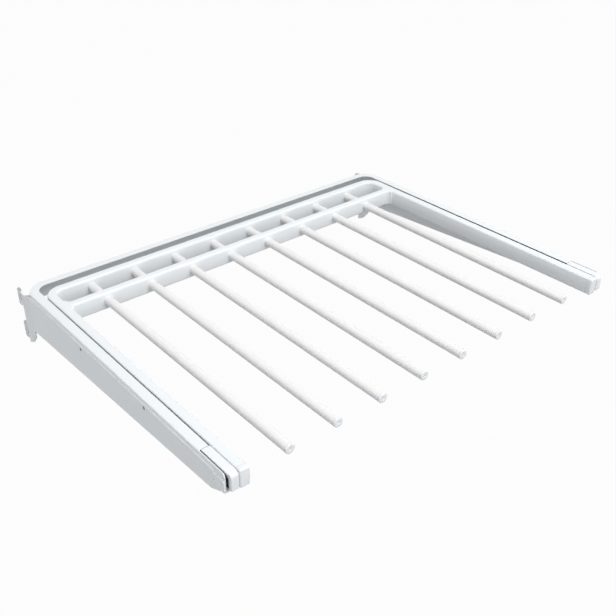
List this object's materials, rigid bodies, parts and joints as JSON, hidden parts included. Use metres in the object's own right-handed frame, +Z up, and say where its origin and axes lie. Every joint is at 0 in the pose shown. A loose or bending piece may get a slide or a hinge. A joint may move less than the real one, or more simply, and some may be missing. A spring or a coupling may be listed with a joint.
{
  "type": "pull out trouser rack",
  "caption": "Wall-hung trouser rack: a frame with cantilevered rods slides out of a fixed U-shaped rim on ball-bearing slides.",
  "frame": {"origin": "midway between the two slotted wall standards, on their front faces, level with the top of the rim", "axes": "+X to the right as seen from the front, -Y out of the wardrobe in the pulling direction, +Z up"},
  "size_m": [0.607, 0.4825, 0.092],
  "materials": {
    "white_frame": "smooth white powder coat with a cool cast",
    "white_rod": "smooth white powder coat",
    "white_plastic": "white moulded plastic, satin",
    "zinc_steel": "zinc-plated rolled steel",
    "black_steel": "blackened steel rivets",
    "bearing_steel": "polished bearing balls",
    "black_rubber": "moulded black rubber"
  },
  "bodies": {
    "fixed_frame": {"outer_frame": "white_frame", "side_bracket_left": "white_frame", "side_bracket_right": "white_frame", "hook_plate_left": "white_frame", "hook_plate_right": "white_frame", "slide_channel_left": "zinc_steel", "slide_channel_right": "zinc_steel", "slide_rivets_left": "black_steel", "slide_rivets_right": "black_steel"},
    "rack": {"pull_out_frame": "white_frame", "cross_bar": "white_frame", "rod_1": "white_rod", "rod_2": "white_rod", "rod_3": "white_rod", "rod_4": "white_rod", "rod_5": "white_rod", "rod_6": "white_rod", "rod_7": "white_rod", "rod_8": "white_rod", "rod_caps": "white_plastic", "slide_rail_left": "zinc_steel", "slide_rail_right": "zinc_steel", "rail_screws_left": "zinc_steel", "rail_screws_right": "zinc_steel", "arm_plug_left": "white_plastic", "arm_plug_right": "white_plastic", "slide_cap_left": "white_plastic", "slide_cap_right": "white_plastic", "stop_buffer_left": "black_rubber", "stop_buffer_right": "black_rubber"},
    "cage_left": {"ball_cage_left": "zinc_steel", "slide_balls_left": "bearing_steel"},
    "cage_right": {"ball_cage_right": "zinc_steel", "slide_balls_right": "bearing_steel"}
  },
  "joints": [
    {"name": "rack_slide", "type": "slide", "parent": "fixed_frame", "child": "rack", "axis": [0, -1, 0], "range_m": [0, 0.3]},
    {"name": "cage_left_roll", "type": "slide", "parent": "fixed_frame", "child": "cage_left", "axis": [0, -1, 0], "range_m": [0, 0.15]},
    {"name": "cage_right_roll", "type": "slide", "parent": "fixed_frame", "child": "cage_right", "axis": [0, -1, 0], "range_m": [0, 0.15]}
  ],
  "couplings": [
    {"joint": "cage_left_roll", "follows": "rack_slide", "ratio": 0.5},
    {"joint": "cage_right_roll", "follows": "rack_slide", "ratio": 0.5}
  ]
}
